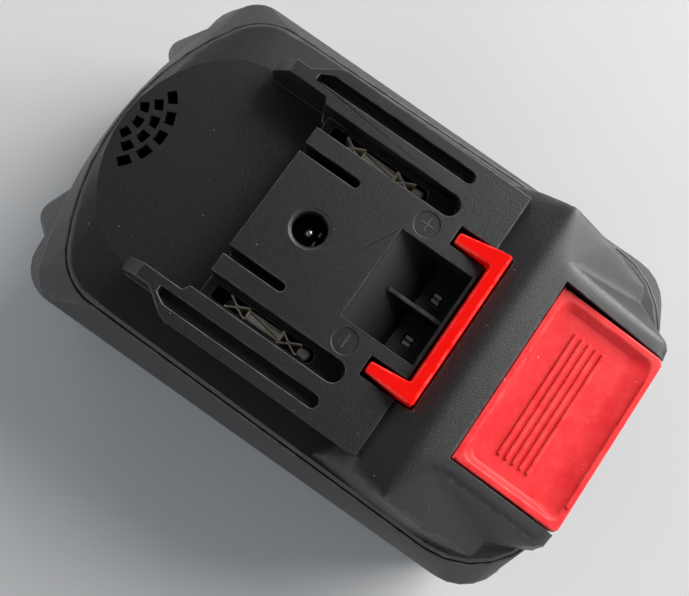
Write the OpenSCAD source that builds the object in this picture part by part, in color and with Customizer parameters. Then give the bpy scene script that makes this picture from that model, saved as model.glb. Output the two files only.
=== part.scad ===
// Slide-on battery pack for cordless tools: a moulded case and top housing round ten
// round cells, with slide rails, a terminal plate and a sprung one-piece release latch.
// X runs along the pack, with the release button at +X. Z = 0 is the resting face.

/* [Cells] */
// Diameter of one cell
cell_d = 18.4; // [18:0.1:18.8]
// Length of one cell
cell_l = 65; // [64:0.1:66]
// Plastic web between neighbouring cells
cell_web = 0.6; // [0.5:0.1:1]
// Diameter of the positive cap of a cell
cap_d = 6; // [5:0.5:8]
// Height of the positive cap of a cell
cap_h = 1.2; // [0.8:0.1:1.6]
// Depth of each cell holder along the cells
holder_depth = 9; // [6:0.5:14]
// Outer wall of the cell holders
holder_wall = 0.8; // [0.6:0.1:1.2]
// Radial play of a cell in its holder
cell_play = 0.1; // [0.05:0.01:0.2]

/* [Case] */
// Side and end walls of the case
case_wall = 2.4; // [2:0.1:3]
// Floor of the case
floor_t = 2; // [1.6:0.1:3]
// Thickness of the case's wall at the rim
rim_wall = 2; // [1.6:0.1:2.4]
// Free space behind the cell holders
rear_gap = 1.9; // [1.5:0.1:2.5]
// Free space before the cell holders, which holds the front screw posts
front_gap = 7.1; // [7:0.1:10]
// Free space at each end of the cells, inside the case
side_gap = 1.9; // [1.6:0.1:3]
// Radius of the rear corners of the case
case_corner = 8; // [5:0.5:12]
// Radius of the front corners of the case
front_corner = 10; // [6:0.5:12]
// How far the middle of the rear wall bows out
rear_bow = 1.7; // [0.5:0.1:3]
// Radius of the bow of the rear wall
rear_arc_r = 250; // [200:5:400]
// Radius of the bow of the rear rim
rim_arc_r = 91; // [88:1:120]
// Radius of the rear corners of the rim
rim_corner = 7; // [6:0.5:8]
// Height over which the rear corners lean in to the rim
lean_h = 6; // [5:0.5:8]
// How far the rear screw lumps stand out behind the case
lump_out = 6; // [5:0.1:7]
// How far the release button stands out before the case
lip_out = 1.8; // [1.4:0.1:3]
// Radius of a rear screw lump
lump_r = 3.8; // [3.4:0.1:4.5]
// Distance of the rear screw lumps from the middle line
lump_y = 22; // [18:0.5:24]
// Height of the tips of the rear screw lumps
lump_h = 27.5; // [22:0.5:30]

/* [Top housing] */
// Wall of the top housing
cover_wall = 2; // [1.6:0.1:2.4]
// Height from the rim up to the rear plateau
skirt_h = 8; // [6:0.5:10]
// Height of the terminal plate above the rear plateau
block_h = 10; // [9:0.1:12]
// Length of the terminal plate
block_l = 39.6; // [38:0.1:44]
// Width of the terminal plate across the slide rails
rail_w = 56.9; // [56:0.1:60]
// Thickness of the slide rails
rail_t = 3.4; // [3:0.1:4]
// Overhang of the slide rails
rail_reach = 3; // [2.4:0.1:3.4]
// Distance from the terminal plate to the front of the pack
hood_l = 37.8; // [36:0.1:42]
// Height of the hood crest above the terminal plate
hood_rise = 1.2; // [0.6:0.1:2]
// Width of the rear plateau
plateau_w = 47; // [40:0.2:50]
// Radius of the bow of the plateau's rear
plateau_arc_r = 27.4; // [26:0.2:40]
// Radius of the bow of the bead's rear
bead_arc_r = 54.5; // [50:0.5:70]
// Radius of the outer arc of vent slots
vent_r = 12; // [11:0.5:14]
// Width of one vent slot
vent_w = 1.9; // [1.4:0.1:2.2]

/* [Openings in the terminal plate] */
// Length of the connector well
well_l = 15.5; // [14:0.1:17]
// Width of the connector well
well_w = 19.4; // [17:0.1:20]
// Depth of the connector well at its front
well_depth = 9.4; // [7:0.1:10]
// Width of a contact pocket
pocket_w = 4.4; // [4.2:0.1:4.8]
// Depth of a contact pocket
pocket_depth = 4.8; // [4.4:0.1:5.2]
// Distance from the outer edge of a slide rail to a contact pocket
pocket_side = 7.75; // [7.4:0.05:8]
// Radius of the charging hole
jack_r = 3.25; // [2.8:0.05:3.6]
// Distance from the plate's front edge to the charging hole
jack_back = 29.65; // [28:0.1:31]

/* [Release latch] */
// Travel of the release latch
latch_travel = 4; // [3:0.1:4.2]
// Height of the hook above the terminal plate
hook_rise = 3.7; // [3:0.1:3.9]
// Width of the hook
hook_w = 32.2; // [30:0.1:32.8]
// Length of the release button
button_l = 23.6; // [22:0.1:25]
// Width of the release button
button_w = 37.8; // [34:0.1:39]
// Running gap round the release latch
latch_gap = 0.4; // [0.3:0.05:0.6]
// Wire of a latch spring
spring_wire = 0.6; // [0.5:0.05:0.7]
// Outer diameter of a latch spring
spring_d = 5.8; // [5:0.1:6.4]

/* [Circuit board] */
// Thickness of the circuit board
board_t = 1.2; // [1:0.1:1.6]
// Thickness of the tray under the circuit board
tray_t = 0.8; // [0.6:0.1:1.2]
// Thickness of the nickel strips
strip_t = 0.2; // [0.15:0.05:0.3]
// Thickness of the insulating sheet and papers
paper_t = 0.2; // [0.15:0.05:0.4]

/* [Hidden] */
cols = 5;
rows = 2;
// Overrun of every cut past the face that it opens
cut = 1;
// Overlap of two solids that are joined face to face
sheet = 0.02;
// Gap between pieces that rest side by side
seat = 0.3;
fine = 48;
coarse = 24;

// Cell stack, laid out from the rear wall and the floor of the case
pitch = cell_d + cell_web;
hole_r = cell_d / 2 + cell_play;
holder_l = (cols - 1) * pitch + 2 * (hole_r + holder_wall);
holder_h = (rows - 1) * pitch + 2 * (hole_r + holder_wall);
inner_l = rear_gap + holder_l + front_gap;
pack_l = lump_out + case_wall + inner_l + case_wall + lip_out;
front_x = pack_l / 2;
rear_x = -front_x;
case_rear = rear_x + lump_out;
case_front = front_x - lip_out;
inner_hw = cell_l / 2 + side_gap + strip_t + paper_t;
case_hw = inner_hw + case_wall;
holder_rear = case_rear + case_wall + rear_gap;
holder_z = floor_t + seat;
holder_top = holder_z + holder_h;
function cell_x(i) = holder_rear + holder_wall + hole_r + i * pitch;
function cell_z(j) = holder_z + holder_wall + hole_r + j * pitch;

// Levels
tray_z = holder_top + paper_t;
board_z = tray_z + tray_t;
board_top = board_z + board_t;
plateau_z = board_top + seat + cover_wall;
rim_z = plateau_z - skirt_h;
bead_z = plateau_z - skirt_h / 8;
plate_z = plateau_z + block_h;
hood_z = plate_z + hood_rise;

// Places along the terminal plate
plate_front = front_x - hood_l;
plate_rear = plate_front - block_l;
rail_hw = rail_w / 2;
neck_hw = rail_hw - rail_reach;
jack_x = plate_front - jack_back;
hook_l = 10.3;
hook_arm = 3.4;
hook_bar = 2.6;
hook_lead = 3.1;
hook_front = plate_front + hook_lead;

// Outline of the case
base_inset = 0.9;
base_chamfer = 1.8;
base_round_h = 3;
bow_steps = 10;
corner_steps = 6;
tongue_t = 1;
tongue_h = 2;
tongue_gap = 0.15;

// Arc round c with radius r, from angle a to angle b in n steps
function arc(c, r, a, b, n) = [for (i = [0:n]) let (t = a + (b - a) * i / n) c + r * [cos(t), sin(t)]];

// Closed outline with two corner radii and a rear end that is an arc of radius r_arc. Its half
// widths at the rear and at the front are those of the list hw.
function outline(x0, x1, hw, r_rear, r_front, r_arc) = let (
        hub = x0 + r_arc,
        y = hw[0] - r_rear,
        x = hub - sqrt((r_arc - r_rear) * (r_arc - r_rear) - y * y),
        a = atan2(y, x - hub),
        step = (360 - 2 * a) / bow_steps)
    concat(
        arc([x1 - r_front, hw[1] - r_front], r_front, 0, 90, corner_steps),
        arc([x, y], r_rear, 90, a, corner_steps),
        arc([hub, 0], r_arc, a + step, 360 - a - step, bow_steps - 2),
        arc([x, -y], r_rear, 360 - a, 270, corner_steps),
        arc([x1 - r_front, r_front - hw[1]], r_front, 270, 360, corner_steps));

// Solid lofted through outlines with equal counts of points: each level is [z, outline]
module loft(levels) {
    n = len(levels[0][1]);
    m = len(levels);
    points = [for (v = levels) for (p = v[1]) [p.x, p.y, v[0]]];
    sides = [for (k = [0:m - 2]) for (i = [0:n - 1])
        let (a = k * n + i, b = k * n + (i + 1) % n)
            for (f = [[a, a + n, b + n], [a, b + n, b]]) f];
    base = [for (i = [0:n - 1]) i];
    lid = [for (i = [n - 1:-1:0]) (m - 1) * n + i];
    polyhedron(points, concat([base], sides, [lid]));
}

// Outline of the case, and of its rim, pulled in by d on all sides
function case_outline(d) = outline(case_rear - rear_bow + d, case_front - d,
    [case_hw - d, case_hw - d], case_corner - d, front_corner - d, rear_arc_r - d);

function rim_outline(d) = outline(case_rear - rear_bow + d, case_front - d,
    [case_hw - d, case_hw - d], rim_corner - d, front_corner - d, rim_arc_r - d);

// Rear edge of the rim at a distance y from the middle line
function rim_rear(y) = case_rear - rear_bow + rim_arc_r - sqrt(rim_arc_r * rim_arc_r - y * y);

// Prism of a side profile, drawn in X and Z, that spans y0 to y1
module side_prism(profile, y0, y1) {
    translate([0, y1, 0]) rotate([90, 0, 0]) linear_extrude(y1 - y0) polygon(profile);
}

// Box between two corners
module box(low, high) {
    translate(low) cube(high - low);
}

// The children on the +Y side, or mirrored to the -Y side where s is -1
module across(s) {
    mirror([0, s < 0 ? 1 : 0, 0]) children();
}

// The children, and their mirror image across the pack
module both_sides() {
    children();
    mirror([0, 1, 0]) children();
}

// Screws: the rear pair in the lumps, the front pair before the cell holders
screw_r = 1.5;
screw_head_r = 2.8;
screw_head_h = 2;
screw_l = 14;
post_r = 3.3;
post_wall_gap = 0.1;
screw_sink = 4;
screw_rear_x = rear_x + lump_r;
screw_front_x = case_front - case_wall - post_r - post_wall_gap;
screw_front_y = 24;
screw_places = [for (s = [-1, 1])
    each [[screw_rear_x, s * lump_y], [screw_front_x, s * screw_front_y]]];
pilot_r = screw_r - 0.25 * screw_r;

// Lump at a rear corner: a post that slopes up and spreads into the rear wall
lump_flank = 5.4;
lump_root_drop = 1;
module rear_lump() {
    hull() {
        translate([screw_rear_x, lump_y, 0]) cylinder(r = lump_r, h = lump_h - lump_r / 2, $fn = coarse);
        translate([screw_rear_x, lump_y, lump_h - lump_r / 2])
            cylinder(r1 = lump_r, r2 = lump_r / 2, h = lump_r / 2, $fn = coarse);
        for (y = [lump_y - lump_flank, lump_y + lump_flank]) translate([rim_rear(y) + rim_wall, y, 0])
            cylinder(r = rim_wall, h = rim_z - lump_root_drop, $fn = coarse);
    }
}

module bottom_case() {
    color([0.13, 0.14, 0.15])
    difference() {
        union() {
            difference() {
                union() {
                    loft([
                        [0, case_outline(base_inset + base_chamfer)],
                        [base_round_h / 3, case_outline(base_inset + base_chamfer / 3)],
                        [base_round_h, case_outline(base_inset)],
                        [rim_z - lean_h, case_outline(0)],
                        [rim_z, rim_outline(0)]]);
                    both_sides() rear_lump();
                }
                loft([
                    [floor_t, case_outline(case_wall)],
                    [rim_z - lean_h, case_outline(case_wall)],
                    [rim_z, rim_outline(rim_wall)],
                    [rim_z + cut, rim_outline(rim_wall)]]);
            }
            both_sides() translate([screw_front_x, screw_front_y, floor_t / 2])
                cylinder(r = post_r, h = rim_z - tongue_h - seat - floor_t / 2, $fn = fine);
        }
        for (p = screw_places) translate([p.x, p.y, -cut]) {
            cylinder(r = screw_head_r + tongue_gap, h = cut + screw_sink, $fn = fine);
            cylinder(r = pilot_r, h = cut + screw_sink + screw_l, $fn = fine);
        }
    }
}

module case_screws() {
    color([0.55, 0.55, 0.57])
    for (p = screw_places) translate([p.x, p.y, screw_sink - screw_head_h]) {
        difference() {
            cylinder(r = screw_head_r, h = screw_head_h, $fn = fine);
            translate([0, 0, -cut]) cylinder(r = screw_head_r / 2, h = cut + screw_head_h / 2, $fn = 6);
        }
        cylinder(r = pilot_r - tongue_gap, h = screw_head_h + screw_l - cut, $fn = fine);
    }
}

// Top housing: skirt and rear plateau, with a fine step and groove all round below the bead
bead_inset = 4;
bead_flare = 1.2;
bead_rear_step = 0.8;
bead_front_step = 0.4;
bead_rear = case_rear + bead_rear_step;
bead_front = front_x - bead_front_step;
bead_corner = 12;
bead_front_corner = 17;
bead_roll = 0.7;
ledge_w = 0.35;
groove_h = 0.3;
ledge_drop = 1.2;
ledge_z = bead_z - ledge_drop;
plateau_hw = plateau_w / 2;
plateau_step = 1.9;
plateau_rear = case_rear + plateau_step;
plateau_corner = 15;

function bead_outline(d) = outline(bead_rear + d, bead_front - d,
    [case_hw - bead_inset - d, case_hw - bead_inset + bead_flare - d],
    bead_corner - d, bead_front_corner - d, bead_arc_r - d);

module skirt() {
    loft([
        [rim_z, rim_outline(0)],
        [rim_z + skirt_h / 6, rim_outline(skirt_h / 16)],
        [ledge_z, bead_outline(-ledge_w)],
        [ledge_z + groove_h / 2, bead_outline(0)],
        [ledge_z - groove_h / 2, bead_outline(groove_h)],
        [ledge_z, bead_outline(groove_h + groove_h / 2)],
        [ledge_z + groove_h / 2, bead_outline(groove_h)],
        [bead_z - bead_roll, bead_outline(groove_h)],
        [bead_z, bead_outline(groove_h + bead_roll)],
        [plateau_z, outline(plateau_rear, plate_front, [plateau_hw, plateau_hw],
            plateau_corner, plateau_corner, plateau_arc_r)]]);
}

// Inside of the skirt, with more room for the cell holders at the rear corners
hollow_rear_step = 2.7;
hollow_corner = 10;
hollow_arc_r = 75;
function hollow_outline(d) = outline(case_rear + hollow_rear_step + d, case_front - 2 * case_wall - d,
    [case_hw - bead_inset - d, case_hw - bead_inset - d],
    hollow_corner - d, front_corner - d, hollow_arc_r - d);

module skirt_hollow() {
    loft([
        [rim_z - cut, rim_outline(rim_wall)],
        [rim_z, rim_outline(rim_wall)],
        [bead_z - cover_wall - skirt_h / 10, hollow_outline(0)],
        [plateau_z - cover_wall, hollow_outline(cover_wall)]]);
}

// Hood before the terminal plate. Its crest ends in two corners. From them a facet slopes down
// to the front on each side, and a wing beside the button rises out of a valley in the facet.
// Points of one side are shares of the hood's length, the case's half width and the plate's
// height over the bead.
wing_t = 3;
wing_hw = button_w / 2 + latch_gap + wing_t;
wing_drop = 6.3;
wing_nose = 1.1;
button_rear = front_x - button_l;
crest_x = button_rear - 0.16 * hood_l;
shoulder_shares = [
    [0.02, 0.841, 0.855], [0.209, 0.855, 1.073], [0.474, 0.857, 0.573], [0.746, 0.831, 0.018],
    [0.778, 0.742, -0.018], [0.831, 0.6, -0.076]];
shoulder_foot_shares = [
    [-0.156, 0.865, 0.03], [0.093, 0.885, 0], [0.262, 0.892, 0], [0.439, 0.893, 0], [0.619, 0.87, 0]];
shoulder_hollow_shares = [0.08, 0.6];
valley_share = shoulder_shares[4];
wing_foot_share = [0.99, 0.624, -0.02];

function hood_point(share) =
    [plate_front + share.x * hood_l, share.y * case_hw, bead_z + share.z * (plate_z - bead_z)];

// Solid that wraps a list of points
module wrap(points) {
    hull() polyhedron(points, [for (i = [2:len(points) - 1]) [0, i - 1, i]]);
}

hood_line = [
    [plate_front, plate_z - 0.9 * hood_rise],
    [plate_front + 0.09 * hood_l, plate_z],
    [plate_front + 0.17 * hood_l, plate_z + 0.68 * hood_rise],
    [crest_x, hood_z],
    [plate_front + 0.31 * hood_l, plate_z + 0.35 * hood_rise]];
wing_line = [
    [front_x - wing_nose, plate_z - wing_drop + wing_nose / 2],
    [front_x, plate_z - wing_drop - wing_nose / 2]];

module shoulder() {
    tops = [for (p = shoulder_shares) hood_point(p)];
    feet = [for (p = shoulder_foot_shares) hood_point(p)];
    wrap(concat(
        [for (p = hood_line) [p.x, wing_hw, p.y]], [[plate_front, rail_hw, hood_line[0].y]], tops, feet,
        [for (p = concat(tops, feet)) [p.x, min(p.y, wing_hw), rim_z + skirt_h / 2]],
        [for (p = feet) [p.x, p.y, rim_z + skirt_h / 2]]));
}

// Hollow of one shoulder, a wall thinner on every outer side
module shoulder_hollow() {
    tops = [for (p = shoulder_shares) hood_point(p)];
    feet = [for (p = shoulder_foot_shares) hood_point(p)];
    w = cover_wall;
    back = plate_front + shoulder_hollow_shares[0] * hood_l;
    front = plate_front + shoulder_hollow_shares[1] * hood_l;
    wrap([
        tops[0] + [w, -w, -w], tops[1] + [-w / 4, -w, -1.2 * w],
        [back, wing_hw, tops[0].z - w], [tops[1].x, wing_hw, tops[1].z - 1.2 * w],
        [front, wing_hw, hood_point(valley_share).z - w / 2], tops[3] + [-1.5 * w, -w, -w / 2],
        feet[0] + [w, -w, -w], feet[1] - [0, w, w], feet[2] - [0, w, w], feet[3] - [0, w, w],
        feet[4] - [0, w, w], [feet[0].x + w, wing_hw, feet[0].z - w],
        [feet[0].x + w, wing_hw, rim_z + skirt_h / 2], [front, wing_hw, rim_z + skirt_h / 2],
        feet[1] - [0, w, skirt_h / 2], feet[3] - [0, w, skirt_h / 2]]);
}

// Wall that slopes from the top of a wing down to the valley
module wing_wall() {
    root = hood_line[len(hood_line) - 1];
    foot = hood_point(wing_foot_share);
    back = wing_hw - wing_t / 2;
    low = rim_z + skirt_h / 2;
    wrap([
        [root.x, wing_hw, root.y], [wing_line[0].x, wing_hw, wing_line[0].y],
        [wing_line[1].x, wing_hw - wing_nose / 2, wing_line[1].y], hood_point(valley_share),
        [wing_line[1].x, wing_hw - wing_nose / 2, bead_z], foot,
        [root.x, back, root.y - wing_t], [wing_line[0].x, back, wing_line[0].y - wing_t],
        [foot.x, back, foot.z], [root.x, back, low], [root.x, wing_hw, low],
        [foot.x - 2 * wing_t, back, low], [foot.x - 2 * wing_t, wing_hw, low]]);
}

// Crest of the hood and the wings, which the bay for the button is cut from
module hood_core() {
    low = rim_z + skirt_h / 2;
    side_prism(concat([[plate_front, low]], hood_line, wing_line,
        [[front_x, bead_z], [front_x - 2 * wing_t, low]]), -wing_hw, wing_hw);
}

// Space under the hood, between the wings and behind the button
module hood_hollow() {
    both_sides() shoulder_hollow();
    side_prism([
        [plate_front + 0.04 * hood_l, rim_z], [plate_front + 0.04 * hood_l, plate_z - cover_wall],
        [crest_x, hood_z - cover_wall],
        [button_rear + latch_gap, plate_z - cover_wall - hood_rise / 2], [button_rear + latch_gap, rim_z]],
        -wing_hw + wing_t, wing_hw - wing_t);
}

// The bay that the button moves in, open at the top and the front
bridge_t = 1.8;
bridge_drop = 6.2;
bridge_z = plate_z - bridge_drop;
button_slope = 3.4;
button_drop = 1.8;
button_top = plate_z - button_drop;
button_skin = 4.2;
bay_lip = 0.9;
bay_floor = button_top - button_slope - button_skin - latch_travel - latch_gap;
module button_bay() {
    hw = button_w / 2 + latch_gap;
    box([button_rear - latch_gap, -hw, bay_floor], [front_x + cut, hw, hood_z + cut]);
    box([case_front - bay_lip, -hw, rim_z + seat], [front_x + cut, hw, hood_z + cut]);
}

// Terminal plate with its slide rails and rear noses, as a plan of one side
rail_inner = rail_hw - pocket_side;
pocket_y = rail_inner - pocket_w;
nose_l = 14;
nose_t = 2.8;
nose_side = 3.55;
nose_out = rail_hw - nose_side;
nose_in = nose_out - nose_t;
nose_ramp_l = 3.8;
nose_ramp_h = 5.4;
rail_tail = 2;
rail_plan = [
    [plate_front, 0], [plate_front, rail_hw],
    [plate_rear - 0.1 * nose_l, rail_hw],
    [plate_rear - 0.2 * nose_l, rail_hw - 0.12 * (rail_hw - nose_out)],
    [plate_rear - 0.42 * nose_l, nose_out + 0.25 * (rail_hw - nose_out)],
    [plate_rear - 0.52 * nose_l, nose_out],
    [plate_rear - nose_l, nose_out], [plate_rear - nose_l, nose_in],
    [plate_rear - rail_tail, nose_in], [plate_rear - 0.6 * rail_tail, rail_inner],
    [plate_rear, rail_inner], [plate_rear, 0]];
neck_plan = [
    [plate_front, 0], [plate_front, neck_hw],
    [plate_rear - 0.2 * nose_l, neck_hw],
    [plate_rear - 0.42 * nose_l, nose_out],
    [plate_rear - nose_l, nose_out], [plate_rear - nose_l, nose_in],
    [plate_rear - rail_tail, nose_in], [plate_rear - 0.6 * rail_tail, rail_inner],
    [plate_rear, rail_inner], [plate_rear, 0]];

module terminal_block() {
    both_sides() difference() {
        union() {
            translate([0, 0, plate_z - rail_t]) linear_extrude(rail_t) polygon(rail_plan);
            translate([0, 0, plateau_z - cover_wall / 2])
                linear_extrude(block_h - rail_t + cover_wall) polygon(neck_plan);
        }
        side_prism([
            [plate_rear - nose_l - cut, plate_z + cut],
            [plate_rear - nose_l - cut, plate_z - nose_ramp_h - cut * nose_ramp_h / nose_ramp_l],
            [plate_rear - nose_l, plate_z - nose_ramp_h],
            [plate_rear - nose_l + nose_ramp_l, plate_z],
            [plate_rear - nose_l + nose_ramp_l, plate_z + cut]],
            nose_in - cut, nose_out + cut);
    }
}

// Hollow of the block, which leaves the walls of the well and of the pockets standing
well_wall = 0.8;
well_front = plate_front - 0.04 * well_l;
well_rear = well_front - well_l;
pocket_back = 9.6;
pocket_front = plate_front - pocket_back;
module block_hollow() {
    difference() {
        box([plate_rear + cover_wall, -neck_hw + cover_wall, plateau_z - cover_wall - cut],
            [plate_front + 0.05 * hood_l, neck_hw - cover_wall, plate_z - cover_wall]);
        box([well_rear - well_wall, -well_w / 2 - well_wall, plate_z - well_depth - well_wall],
            [well_front + well_wall, well_w / 2 + well_wall, plate_z]);
        both_sides() box(
            [plate_rear, pocket_y - well_wall, plate_z - pocket_depth - well_wall],
            [pocket_front + well_wall, rail_inner + well_wall, plate_z]);
        both_sides() box([plate_rear, fin_in - well_wall, plate_z - fin_depth - well_wall],
            [fin_front + well_wall, fin_out + well_wall, plate_z]);
        translate([jack_x, 0, plate_z - cover_wall - jack_collar])
            cylinder(r = jack_r + cover_wall, h = jack_collar + cut, $fn = fine);
    }
}

// Connector well with a ramped floor and a middle rib
well_rib_t = 0.8;
signal_slot = 2.4;
signal_x = well_front - 0.18 * well_l;
signal_y = 0.25 * well_w;
module connector_well() {
    hw = well_w / 2;
    ramp = [
        [well_rear, plate_z + cut], [well_rear, plate_z - 0.06 * well_depth],
        [well_rear + 0.5 * well_l, plate_z - 0.75 * well_depth],
        [well_rear + 0.62 * well_l, plate_z - well_depth],
        [well_front, plate_z - well_depth], [well_front, plate_z + cut]];
    difference() {
        side_prism(ramp, -hw, hw);
        side_prism([
            [well_rear + 0.27 * well_l, plate_z - well_depth - cut],
            [well_rear + 0.27 * well_l, plate_z - 0.36 * well_depth],
            [well_front + cut, plate_z - 0.36 * well_depth],
            [well_front + cut, plate_z - well_depth - cut]],
            -well_rib_t / 2, well_rib_t / 2);
    }
    both_sides() box(
        [signal_x - signal_slot / 2, signal_y - signal_slot / 2, plate_z - well_depth - well_wall - cut],
        [signal_x + signal_slot / 2, signal_y + signal_slot / 2, plate_z - well_depth + cut]);
}

// Contact pockets, with a slot in the floor for the contact leaves
pocket_slot_w = 2.6;
pocket_slot_back = 6.2;
pocket_slot_front = pocket_front - pocket_slot_back;
pocket_mid = pocket_y + pocket_w / 2;
module contact_pocket() {
    r = pocket_w / 2;
    z = plate_z - pocket_depth;
    box([plate_rear - cut, pocket_y, z], [pocket_front - r, rail_inner, plate_z + cut]);
    translate([pocket_front - r, pocket_mid, z]) cylinder(r = r, h = pocket_depth + cut, $fn = fine);
    box([plate_rear + cover_wall, pocket_mid - pocket_slot_w / 2, z - well_wall - cut],
        [pocket_slot_front - pocket_slot_w / 2, pocket_mid + pocket_slot_w / 2, z + cut]);
    translate([pocket_slot_front - pocket_slot_w / 2, pocket_mid, z - well_wall - cut])
        cylinder(d = pocket_slot_w, h = well_wall + 2 * cut, $fn = fine);
}

// Short slots beside the middle of the plate
fin_w = 1.8;
fin_side = 3.7;
fin_l = 12.6;
fin_out = pocket_y - fin_side;
fin_in = fin_out - fin_w;
fin_depth = 7.6;
fin_front = plate_rear + fin_l;
module fin_slot() {
    r = (fin_out - fin_in) / 2;
    box([plate_rear - cut, fin_in, plate_z - fin_depth], [fin_front - r, fin_out, plate_z + cut]);
    translate([fin_front - r, fin_in + r, plate_z - fin_depth])
        cylinder(r = r, h = fin_depth + cut, $fn = fine);
}

// Long grooves in the tops of the rails
groove_side = 2.25;
groove_w = 2.5;
groove_back = 10.4;
groove_depth = 2.4;
groove_out = rail_hw - groove_side;
groove_in = groove_out - groove_w;
groove_front = plate_front - groove_back;
module rail_groove() {
    r = (groove_out - groove_in) / 2;
    translate([0, 0, plate_z - groove_depth]) linear_extrude(groove_depth + cut) polygon([
        [groove_front - r, groove_in], [groove_front - r, groove_out],
        [plate_rear - 0.22 * nose_l, groove_out], [plate_rear - 0.38 * nose_l, groove_in + r],
        [plate_rear - 0.38 * nose_l, groove_in]]);
    translate([groove_front - r, groove_in + r, plate_z - groove_depth])
        cylinder(r = r, h = groove_depth + cut, $fn = fine);
}

// Charging hole, and the round recesses for the polarity signs
jack_collar = 1;
jack_bevel = 0.6;
disc_r = 2.5;
disc_sink = 0.25;
disc_back = 12.9;
disc_y = (well_w / 2 + pocket_y) / 2;
disc_x = plate_front - disc_back;
module charging_hole() {
    translate([jack_x, 0, plateau_z]) cylinder(r = jack_r, h = block_h + cut, $fn = fine);
    translate([jack_x, 0, plate_z - jack_bevel])
        cylinder(r1 = jack_r, r2 = jack_r + 2 * jack_bevel, h = 2 * jack_bevel, $fn = fine);
}

module polarity_recess() {
    translate([disc_x, disc_y, plate_z - disc_sink]) cylinder(r = disc_r, h = disc_sink + cut, $fn = fine);
}

// Slot for the hook: a U round the lip before the connector well
slot_front = hook_front + latch_gap + 0.5 * latch_gap;
slot_rear = hook_front - hook_l - latch_gap;
slot_hw = hook_w / 2 + latch_gap;
slot_in = hook_w / 2 - hook_arm - latch_gap;
module hook_slot() {
    difference() {
        box([slot_rear, -slot_hw, plateau_z], [slot_front, slot_hw, hood_z + cut]);
        box([slot_rear - cut, -slot_in, plateau_z - cut],
            [hook_front - hook_bar - latch_gap, slot_in, hood_z + 2 * cut]);
    }
}

// Vent slots in three arcs round a point on the rear edge: each arc is [number, slots, step angle]
vent_back = 2;
vent_pitch = 2.66;
vent_x = case_rear - vent_back;
vent_steps = [[0, 5, 20], [1, 4, 21.5], [2, 3, 27]];
vent_fill_share = 0.62;
module vent_slot(r, angle, span) {
    rotate([0, 0, angle - span / 2]) rotate_extrude(angle = span, $fn = fine)
        translate([r - vent_w / 2, 0]) square([vent_w, skirt_h]);
}

module vents() {
    translate([vent_x, 0, plateau_z - skirt_h + cut]) for (v = vent_steps)
        for (i = [0:v[1] - 1])
            vent_slot(vent_r - v[0] * vent_pitch, (i - (v[1] - 1) / 2) * v[2],
                vent_fill_share * v[2]);
}

// Tongue inside the rim, along the sides and the front, clear of the cell holders
module tongue() {
    gap = case_wall + tongue_gap;
    intersection() {
        translate([0, 0, rim_z - tongue_h]) linear_extrude(tongue_h + tongue_t) difference() {
            polygon(case_outline(gap));
            polygon(case_outline(gap + tongue_t));
        }
        box([cell_x(0), -case_hw, rim_z - tongue_h - cut], [front_x, case_hw, rim_z + tongue_h]);
    }
}

module top_cover() {
    color([0.14, 0.15, 0.16])
    difference() {
        union() {
            difference() {
                union() {
                    skirt();
                    both_sides() shoulder();
                    both_sides() wing_wall();
                    hood_core();
                    terminal_block();
                }
                skirt_hollow();
                hood_hollow();
                block_hollow();
            }
            tongue();
        }
        button_bay();
        hook_slot();
        connector_well();
        both_sides() {
            contact_pocket();
            fin_slot();
            rail_groove();
            polarity_recess();
        }
        charging_hole();
        vents();
    }
}

// Release latch: hook, bridge and thumb button in one moulding
apron_t = 2.2;
apron_clear = 1.2;
apron_z = rim_z + latch_travel + apron_clear;
dish_depth = 1.5;
dish_rim = 2;
rib_count = 5;
rib_pitch = 1.6;
rib_w = 0.8;
rib_h = 0.4;
rib_l = 26.6;
spring_x = crest_x;
spring_y = 10;
pin_h = 1.4;
latch_front = front_x - sheet;

// Height of the button's rim and of its dished floor at x
function rim_line(x) = button_top - button_slope * (x - button_rear) / button_l;
function dish_line(x) = rim_line(x) - dish_depth;

module hook() {
    hw = hook_w / 2;
    tip = hook_front - hook_l;
    top = plate_z + hook_rise;
    intersection() {
        translate([0, 0, bridge_z]) linear_extrude(top) difference() {
            polygon([
                [hook_front, hw], [hook_front - hook_bar, hw], [tip, hw - 0.2 * hook_arm],
                [tip, 0.2 * hook_arm - hw], [hook_front - hook_bar, -hw], [hook_front, -hw]]);
            polygon([
                [hook_front - hook_bar, hw - hook_arm], [tip - cut, hw - 0.85 * hook_arm],
                [tip - cut, 0.85 * hook_arm - hw], [hook_front - hook_bar, hook_arm - hw]]);
        }
        side_prism([
            [tip, bridge_z], [tip, plate_z - 0.05 * hook_rise],
            [hook_front - 0.15 * hook_bar, top], [hook_front, top - 0.25 * hook_bar],
            [hook_front, bridge_z]], -hook_w, hook_w);
    }
}

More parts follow.
